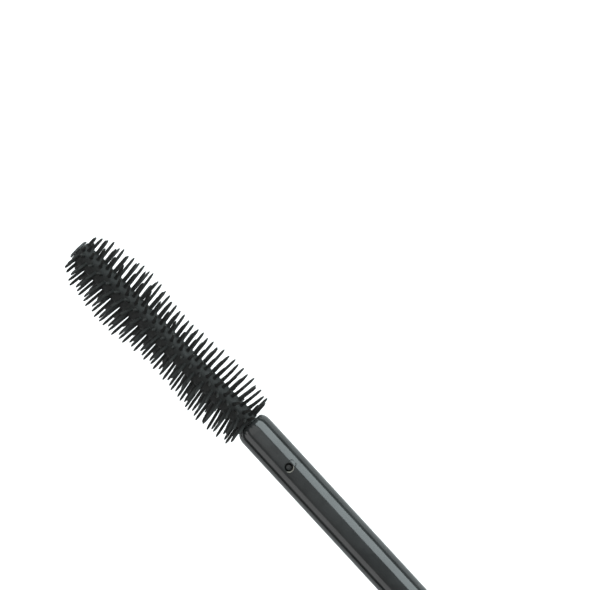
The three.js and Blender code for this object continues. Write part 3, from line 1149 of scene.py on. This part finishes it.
@dataclass
class Stem:
    """The hollow stem, with a socket for the brush and a round window that its peg locks in."""

    radius: float = 1.94
    shoulder: tuple[float, float] = (1.1, 0.6)  # along the axis and across it
    socket: float = 1.05
    socket_depth: float = 9.0
    floor: float = 6.0  # solid, between the socket and the rear bore
    bore: float = 1.1
    flange_thick: float = 1.1
    window_back: float = 6.2
    window: float = 0.45
    rim: float = 0.12
    mark: float = 0.5  # the ring that a moulding pin left
    mark_width: float = 0.1
    mark_depth: float = 0.06
    mark_front: float = 0.06  # from the window's middle to the ring's
    mark_turn: float = math.radians(14)
    span: Span = field(init=False)
    flange: float = field(init=False)

    def __post_init__(self) -> None:
        """Takes the stem's ends and its flange from the frame."""
        self.span = Span.of("stem")
        self.flange = self.span.reach

    def tube(self) -> bmesh.types.BMesh:
        """The turned stem, open at both ends, with its flange."""
        front, rear = self.span.start, self.span.end
        along, across = self.shoulder
        turns = [math.pi / 2 * (step + 1) / SHOULDER_STEPS for step in range(SHOULDER_STEPS)]
        shoulder = [
            Knee(self.radius - across * (1 - math.sin(turn)), front + along * (1 - math.cos(turn)))
            for turn in turns
        ]
        flange_top = rear - FLANGE_DROP
        flange_low = flange_top - self.flange_thick
        bottom = front + self.socket_depth
        return turned([
            Knee(0, bottom), Knee(self.socket, bottom), Knee(self.socket, front, 0.05),
            Knee(self.radius - across, front, 0.06), *shoulder,
            Knee(self.radius, flange_low, 0.15), Knee(self.flange, flange_low, 0.1),
            Knee(self.flange, flange_top, 0.1), Knee(self.radius, flange_top),
            Knee(self.radius, rear, 0.15), Knee(self.bore, rear, 0.05),
            Knee(self.bore, bottom + self.floor), Knee(0, bottom + self.floor),
        ])

    def window_drill(self) -> bmesh.types.BMesh:
        """A drill for the window, which rounds the hole's rim."""
        past = 0.4
        turns = [math.pi / 2 * step / EASE_STEPS for step in range(EASE_STEPS + 1)]
        rounding = [
            (self.radius - self.rim * math.cos(turn), self.window + self.rim * (1 - math.cos(turn)))
            for turn in turns
        ]
        form = column([(0, self.window), *rounding, (self.radius + past, self.window + past)], SMALL_SIDES)
        bmesh.ops.translate(form, vec=(self.span.start + self.window_back, 0, 0), verts=form.verts)
        return form

    def mark_drill(self) -> bmesh.types.BMesh:
        """A hollow drill for the ring that a moulding pin left beside the window."""
        low = self.radius - self.mark_depth
        high = self.radius + 0.3
        past = 0.1
        inner = self.mark - self.mark_width
        outside = column([(low, self.mark), (high, self.mark)], SMALL_SIDES)
        inside = column([(low - past, inner), (high + past, inner)], SMALL_SIDES)
        form = combined(outside, inside, Joining.CUT)
        turn = Matrix.Rotation(-self.mark_turn, 3, "X")
        bmesh.ops.rotate(form, verts=form.verts, cent=(0, 0, 0), matrix=turn)
        middle = self.span.start + self.window_back - self.mark_front
        bmesh.ops.translate(form, vec=(middle, 0, 0), verts=form.verts)
        return form

    def build(self, finish: Finish) -> None:
        """Builds the stem in the given finish."""
        form = combined(self.tube(), self.mark_drill(), Joining.CUT)
        form = combined(form, self.window_drill(), Joining.CUT)
        finished(form, "stem_tube", finish, Body.WAND, "stem_black", ["stem"])


# ---- Cap -------------------------------------------------------------------------------------------


@dataclass
class Cap:
    """The cap: an outer case with a bright ring and inlay, and the threaded liner that holds the stem."""

    recess: float = 1.3  # the inlay's depth, and the edge round it
    top: float = 2.5
    dish: tuple[float, float] = (1.1, 1.6)  # where it begins and ends, in from the inlay's edge
    dish_depth: float = 0.12
    mouth: float = 6.25
    thread_crest: float = 5.5
    thread_ends: tuple[float, float] = (0.075, 1.025)  # in turns past the end of the neck's
    roof: float = 2.4  # from the vial's mouth to the web, closed
    web: float = 2.0
    stem_hole: float = 2.2
    boss_wall: float = 1.2
    boss_drop: float = 0.6  # from the stem's rear end to the boss's
    chamber: float = 4.8
    washer_hole: float = 3.3
    section: SoftSquare = field(init=False)
    ring: Span = field(init=False)
    case: Span = field(init=False)
    inlay: Span = field(init=False)
    liner: Span = field(init=False)
    stem: Span = field(init=False)

    def __post_init__(self) -> None:
        """Takes the places of the cap's pieces from the frame."""
        self.ring = Span.of("cap_trim_ring")
        self.case = Span.of("cap_shell")
        self.inlay = Span.of("cap_top_plate")
        self.liner = Span.of("cap_inner")
        self.stem = Span.of("stem")
        self.section = SoftSquare(self.case.reach)

    def case_form(self) -> bmesh.types.BMesh:
        """The outer case, closed at its top, with the inlay's recess."""
        knee, half = self.section.knee, self.case.reach
        start, end = self.case.start, self.case.end
        inside = half - WALL
        edge, floor, ceiling = half - self.recess, end - self.recess, end - self.top
        return self.section.body([
            Knee(0, floor), knee(edge, floor), knee(edge, end, 0.15),
            knee(half, end, 0.5), knee(half, start, 0.12), knee(inside, start, 0.1),
            knee(inside, ceiling), Knee(0, ceiling),
        ])

    def ring_form(self) -> bmesh.types.BMesh:
        """The bright ring at the cap's mouth."""
        knee, half = self.section.knee, self.ring.reach
        start, end = self.ring.start, self.ring.end
        inside = half - WALL
        return self.section.body([
            knee(inside, start, 0.2), knee(half, start, 0.3), knee(half, end, 0.12), knee(inside, end, 0.1),
        ])

    def inlay_form(self) -> bmesh.types.BMesh:
        """The plate let into the cap's end, faintly dished."""
        knee, half = self.section.knee, self.inlay.reach
        start, end = self.inlay.start, self.inlay.end
        brink, foot = (half - margin for margin in self.dish)
        floor = end - self.dish_depth
        return self.section.body([
            Knee(0, start), knee(half, start), knee(half, end, 0.22), knee(brink, end),
            knee(foot, floor, 0.3), Knee(0, floor),
        ])

    def liner_form(self) -> bmesh.types.BMesh:
        """The liner: a threaded mouth, the web and boss that hold the stem, and the weight's chamber."""
        start, end, outer = self.liner.start, self.liner.end, self.liner.reach
        roof = self.stem.end - FLANGE_DROP + GAP
        web_top = roof + self.web
        boss = self.stem_hole + self.boss_wall
        boss_top = self.stem.end - self.boss_drop
        body = turned([
            Knee(self.mouth, start, 0.35), Knee(outer, start, 0.2), Knee(outer, end, 0.2),
            Knee(self.chamber, end, 0.2), Knee(self.chamber, web_top, 0.4), Knee(boss, web_top, 0.3),
            Knee(boss, boss_top, 0.15), Knee(self.stem_hole, boss_top, 0.1), Knee(self.stem_hole, roof, 0.1),
            Knee(self.mouth, roof, 0.4),
        ])
        closed_mouth = roof - self.roof
        between_ridges = closed_mouth - THREAD_DROP - PITCH / 2
        first, last = ((LEAD / PITCH + turns) * FULL_TURN for turns in self.thread_ends)
        thread = Thread(self.mouth + THREAD_SUNK, self.thread_crest, between_ridges - LEAD, first, last)
        return combined(body, thread.body(), Joining.JOIN)

    def gasket_form(self) -> bmesh.types.BMesh:
        """The sealing washer, with its punched edges eased."""
        span = Span.of("gasket")
        ease = 0.12
        return turned([
            Knee(self.washer_hole, span.start, ease), Knee(span.reach, span.start, ease),
            Knee(span.reach, span.end, ease), Knee(self.washer_hole, span.end, ease),
        ])

    def build(self, case: Finish, metal: Finish, liner: Finish, foam: Finish, steel: Finish) -> None:
        """Builds the cap's pieces.

        Args:
            case: the outer case's finish.
            metal: the finish of the ring and the inlay.
            liner: the liner's finish.
            foam: the finish of the washer and the pad.
            steel: the weight's finish.
        """
        wand = Body.WAND
        finished(self.case_form(), "cap_case", case, wand, "gloss_black", ["cap_shell"])
        finished(self.ring_form(), "cap_ring", metal, wand, "satin_metal", ["cap_trim_ring"])
        finished(self.inlay_form(), "cap_inlay", metal, wand, "satin_metal", ["cap_top_plate"])
        finished(self.liner_form(), "cap_liner", liner, wand, "liner_black", ["cap_inner"])
        finished(self.gasket_form(), "washer", foam, Body.GASKET, "foam", ["gasket"])
        dressed("weight_pad", foam)
        dressed("cap_weight", steel)


# ---- Tube ------------------------------------------------------------------------------------------


@dataclass
class Tube:
    """The tube: a vial with its plug, wiper and mascara, in a sleeve with a collar and a foot."""

    neck: float = 5.2
    neck_bore: float = 4.3
    throat: tuple[float, float] = (1.2, 2.6)  # under the shoulder, where the bore widens
    thread_height: float = 0.75
    sleeve_top: float = 1.2
    plate: float = 1.4
    foot_rim: float = 1.0
    label_recess: float = 5.5
    label_depth: float = 0.8
    section: SoftSquare = field(init=False)
    vial: Span = field(init=False)
    case: Span = field(init=False)
    foot: Span = field(init=False)
    mouth: float = field(init=False)

    def __post_init__(self) -> None:
        """Takes the places of the tube's pieces from the frame."""
        self.vial = Span.of("vial")
        self.case = Span.of("sleeve")
        self.foot = Span.of("base_cap")
        self.mouth = self.vial.end
        self.section = SoftSquare(self.case.reach)

    def vial_form(self) -> bmesh.types.BMesh:
        """The vial: open at its lower end, with a screw thread on its neck."""
        outer, inside = self.vial.reach, self.vial.reach - WALL
        shoulder = self.case.end - self.sleeve_top - GAP
        throat_top, throat_foot = (shoulder - depth for depth in self.throat)
        start, mouth = self.vial.start, self.mouth
        body = turned([
            Knee(inside, start), Knee(outer, start), Knee(outer, shoulder, 0.8),
            Knee(self.neck, shoulder, 0.3), Knee(self.neck, mouth, 0.4), Knee(self.neck_bore, mouth, 0.12),
            Knee(self.neck_bore, throat_top, 0.4), Knee(inside, throat_foot, 0.4),
        ])
        last = LEAD / PITCH * FULL_TURN
        thread = Thread(
            self.neck - THREAD_SUNK, self.neck + self.thread_height, mouth - THREAD_DROP, 0.0, last
        )
        return combined(body, thread.body(), Joining.JOIN)

    def sleeve_form(self) -> bmesh.types.BMesh:
        """The outer case, open at its foot, with the neck's hole in its top."""
        knee, half = self.section.knee, self.case.reach
        start, end = self.case.start, self.case.end
        inside = half - WALL
        hole = self.neck + GAP
        ceiling = end - self.sleeve_top
        return self.section.body([
            knee(inside, start, 0.1), knee(half, start, 0.15), knee(half, end, 0.3), Knee(hole, end, 0.1),
            Knee(hole, ceiling), knee(inside, ceiling),
        ])

    def collar_form(self) -> bmesh.types.BMesh:
        """The bright plate between tube and cap."""
        span = Span.of("neck_collar")
        knee, half = self.section.knee, span.reach
        hole = self.neck + GAP
        return self.section.body([
            knee(half, span.start, 0.3), knee(half, span.end, 0.42), Knee(hole, span.end, 0.15),
            Knee(hole, span.start),
        ])

    def foot_form(self) -> bmesh.types.BMesh:
        """The foot, with its locating rim and the label's round recess."""
        knee, half = self.section.knee, self.foot.reach
        start, end = self.foot.start, self.foot.end
        plate_top = start + self.plate
        rim = half - WALL - GAP
        rim_inside = rim - self.foot_rim
        floor = start + self.label_depth
        return self.section.body([
            Knee(0, floor), Knee(self.label_recess, floor), Knee(self.label_recess, start, 0.15),
            knee(half, start, 0.4), knee(half, plate_top, 0.15), knee(rim, plate_top), knee(rim, end, 0.1),
            knee(rim_inside, end, 0.1), knee(rim_inside, plate_top), Knee(0, plate_top),
        ])

    def label_form(self) -> bmesh.types.BMesh:
        """The blank label in the foot's recess."""
        span = Span.of("shade_label")
        return turned([
            Knee(0, span.start), Knee(span.reach, span.start, 0.05),
            Knee(span.reach, span.end), Knee(0, span.end),
        ])

    def wiper_form(self) -> bmesh.types.BMesh:
        """The wiper: a flange on the rim, a funnel and the lip that wipes the stem."""
        span = Span.of("wiper")
        mouth, top = self.mouth, span.end
        body = self.neck_bore - 0.1
        return turned([
            Knee(3.4, top, 0.3), Knee(3.3, mouth - 7.5, 1.0), Knee(2.25, mouth - 12.2, 0.3),
            Knee(2.15, mouth - 13.6, 0.1), Knee(2.6, mouth - 13.6, 0.15), Knee(2.85, mouth - 12.4, 0.3),
            Knee(body - 0.3, mouth - 8.4, 0.3), Knee(body, mouth - 7.6, 0.2), Knee(body, mouth + GAP),
            Knee(span.reach, mouth + GAP, 0.1), Knee(span.reach, top, 0.2),
        ])

    def build(
        self, case: Finish, metal: Finish, neck: Finish, rubber: Finish, paste: Finish, label: Finish
    ) -> None:
        """Builds the tube's pieces.

        Args:
            case: the finish of the sleeve and the foot.
            metal: the collar's finish.
            neck: the finish of the vial and its plug.
            rubber: the wiper's finish.
            paste: the mascara's finish.
            label: the label's finish.
        """
        bottle = Body.BOTTLE
        finished(self.vial_form(), "vial_body", neck, bottle, "natural_plastic", ["vial"])
        finished(self.sleeve_form(), "tube_case", case, bottle, "gloss_black", ["sleeve"])
        finished(self.collar_form(), "collar_plate", metal, bottle, "satin_metal", ["neck_collar"])
        finished(self.foot_form(), "tube_foot", case, bottle, "gloss_black", ["base_cap"])
        finished(self.label_form(), "blank_label", label, bottle, "label", ["shade_label"])
        finished(self.wiper_form(), "wiper_insert", rubber, bottle, "wiper_rubber", ["wiper"])
        dressed("vial_plug", neck)
        dressed("formula", paste)


# ---- Studio ----------------------------------------------------------------------------------------


@dataclass(frozen=True)
class Softbox:
    """A rectangular studio light that runs along X and faces the object.

    Attributes:
        name: its name.
        low: where its lower edge stands, in degrees from the +Y horizon over the top.
        high: where its upper edge stands.
        radiance: its brightness.
        start: where it begins along X, in metres.
        end: where it ends.
        distance: how far it stands, in metres.
        colour: its colour.
    """

    name: str
    low: float
    high: float
    radiance: float
    start: float = -0.6
    end: float = 0.6
    distance: float = 0.6
    colour: Colour = (1.0, 1.0, 1.0)

    def build(self, height: float) -> None:
        """Hangs the light.

        Args:
            height: the height of the point that it faces.
        """
        middle = math.radians((self.low + self.high) / 2)
        width = 2 * self.distance * math.tan(math.radians(self.high - self.low) / 2)
        light = bpy.data.lights.new(self.name, "AREA")
        light.shape = "RECTANGLE"
        light.size = self.end - self.start
        light.size_y = width
        light.color = self.colour
        light.energy = self.radiance * math.pi * light.size * width
        made = bpy.data.objects.new(self.name, light)
        away = Vector((0, math.cos(middle), math.sin(middle)))
        made.location = away * self.distance + Vector(((self.start + self.end) / 2, 0, height))
        made.rotation_euler = (math.pi / 2 - middle, 0, math.pi)
        made.visible_camera = False
        bpy.context.scene.collection.objects.link(made)


@dataclass(frozen=True)
class Flag:
    """A low black card along the wand, which only reflections see, and which draws its dark outlines.

    Attributes:
        name: its name.
        aside: how far it stands from the long axis along Y, in metres.
        height: its height, in metres.
        length: its length, in metres.
    """

    name: str
    aside: float
    height: float
    length: float = 0.5

    def build(self, finish: Finish) -> None:
        """Stands the card on the floor."""
        form = bmesh.new()
        bmesh.ops.create_grid(form, x_segments=1, y_segments=1, size=0.5)
        bmesh.ops.scale(form, vec=(self.length, self.height, 1), verts=form.verts)
        bmesh.ops.rotate(form, verts=form.verts, cent=(0, 0, 0), matrix=Matrix.Rotation(math.pi / 2, 3, "X"))
        bmesh.ops.translate(form, vec=(0, self.aside, self.height / 2), verts=form.verts)
        made = shown(form, self.name)
        made.data.materials.append(finish.material())
        made.visible_camera = False
        made.visible_diffuse = False
        made.visible_shadow = False


@dataclass
class Studio:
    """The floor, the lights, the flags and the camera over the brush."""

    floor_half: float = 2.5
    sky: float = 0.25
    backdrop: float = 0.95
    lens: float = 200.0
    sensor: float = 36.0
    field_width: float = 0.06297
    roll: float = math.radians(47.36)
    aim: tuple[float, float] = (-0.00683, 0.01288)
    lights: tuple[Softbox, ...] = (
        Softbox("key softbox", 11.5, 58, 4.8, colour=(0.88, 1.0, 1.02)),
        Softbox("fill softbox", 141, 173, 1.35),
        Softbox("overhead softbox", 64, 126, 0.95, start=-1.2, end=0.05, distance=0.9),
    )
    flags: tuple[Flag, ...] = (Flag("key flag", 0.056, 0.0185), Flag("fill flag", -0.036, 0.0115))

    def floor(self, finish: Finish) -> None:
        """Lays the floor."""
        form = bmesh.new()
        bmesh.ops.create_grid(form, x_segments=2, y_segments=2, size=self.floor_half)
        made = shown(form, "floor")
        made.data.materials.append(finish.material())

    def world(self) -> None:
        """Fills the room with dim even light, and shows it bright behind the object."""
        world = bpy.data.worlds.new("studio")
        bpy.context.scene.world = world
        world.use_nodes = True
        world.node_tree.nodes.clear()
        tree = Tree(world.node_tree)
        path = tree.add("LightPath")
        level = tree.ramp(path.outputs["Is Camera Ray"], 0.0, 1.0, self.sky, self.backdrop)
        background = tree.add("Background", {"Color": (1.0, 1.0, 1.0, 1.0), "Strength": level})
        tree.add("OutputWorld", {"Surface": background.outputs[0]})

    def camera(self, stem_end: float) -> None:
        """Sets the camera straight over the brush, turned so that the wand lies across the picture.

        Args:
            stem_end: where the stem ends and the brush begins, along X in metres.
        """
        lens = bpy.data.cameras.new("overhead")
        lens.lens = self.lens
        lens.sensor_width = self.sensor
        lens.clip_start = 0.01
        lens.clip_end = 20
        made = bpy.data.objects.new("overhead", lens)
        distance = self.field_width * self.lens / self.sensor
        made.location = (stem_end + self.aim[0], self.aim[1], AXIS_HEIGHT * MM + distance)
        made.rotation_euler = (0, 0, self.roll)
        bpy.context.scene.collection.objects.link(made)
        bpy.context.scene.camera = made

    def build(self, stem_end: float, floor_finish: Finish, flag_finish: Finish) -> None:
        """Sets up the whole studio.

        Args:
            stem_end: where the brush begins, along X in metres.
            floor_finish: the floor's finish.
            flag_finish: the finish of the black cards.
        """
        self.floor(floor_finish)
        self.world()
        self.camera(stem_end)
        for light in self.lights:
            light.build(AXIS_HEIGHT * MM)
        for flag in self.flags:
            flag.build(flag_finish)
        bpy.context.scene.view_settings.view_transform = "Standard"
        log.info("studio: %d lights and %d flags", len(self.lights), len(self.flags))


# ---- The whole object ------------------------------------------------------------------------------

GLOSS_BLACK = Moulded("polished black", (0.012, 0.012, 0.014), 0.09, waves=160.0, depth=3e-6, marks=0.4)
LINER_BLACK = Moulded("liner black", (0.018, 0.018, 0.02), 0.34, grain=7000.0, depth=6e-6)
SPINE_BLACK = Moulded("spine black", (0.03, 0.033, 0.032), 0.4, grain=9000.0, depth=6e-6, marks=0.2)
WIPER_RUBBER = Moulded("wiper rubber", (0.02, 0.021, 0.022), 0.5, grain=5000.0, waves=600.0, depth=1.5e-5)
SATIN_METAL = SpunMetal("satin metal", (0.60, 0.60, 0.62), 0.27)
STEEL = SpunMetal("turned steel", (0.42, 0.43, 0.45), 0.34, lines=4000.0, depth=5e-6)
WET_MASCARA = Paste("wet mascara", (0.006, 0.006, 0.007), 0.14)
WHITE_FOAM = Foam("white foam", (0.75, 0.74, 0.70), 0.85)
FLOOR_WHITE = PaleFloor("pale floor", (0.66, 0.66, 0.66), 0.9)
FLAG_CLOTH = BlackCloth("black cloth", (0.004, 0.004, 0.004), 1.0)


def main() -> None:
    """Builds the node groups, the brush, the stem, the cap, the tube and the studio in turn."""
    logging.basicConfig(level=logging.INFO, format="%(name)s: %(message)s")
    make_moulded_skin()
    make_handling_marks()
    make_turned_lines()

    brush = Brush()
    direction = Vector((-math.cos(brush.lean), -math.sin(brush.lean), 0))
    bristled = Bristled(
        "bristle elastomer", (0.0165, 0.0175, 0.017), 0.6, tip_colour=(0.021, 0.0215, 0.0205),
        axis=((brush.stem_end * MM, 0.0, AXIS_HEIGHT * MM), tuple(direction)), core=brush.core * MM,
    )
    brush.build(bristled, SPINE_BLACK)

    stem = Stem()
    stem.build(GlintedStem(
        "stem black", (0.021, 0.0225, 0.0225), 0.11, waves=500.0, depth=1.5e-6, marks=0.25,
        window=((stem.span.start + stem.window_back) * MM, stem.window * MM),
    ))
    Cap().build(GLOSS_BLACK, SATIN_METAL, LINER_BLACK, WHITE_FOAM, STEEL)

    tube = Tube()
    neck = StainedNeck(
        "stained neck", (0.43, 0.44, 0.425), 0.3, mouth=tube.mouth * MM, stain=(0.012, 0.011, 0.012),
    )
    label = BlankLabel(
        "blank label", (0.82, 0.81, 0.78), 0.6,
        radius=Span.of("shade_label").reach * MM, swatch=(0.02, 0.02, 0.022),
    )
    tube.build(GLOSS_BLACK, SATIN_METAL, neck, WIPER_RUBBER, WET_MASCARA, label)

    Studio().build(brush.stem_end * MM, FLOOR_WHITE, FLAG_CLOTH)


if __name__ == "__main__":
    main()
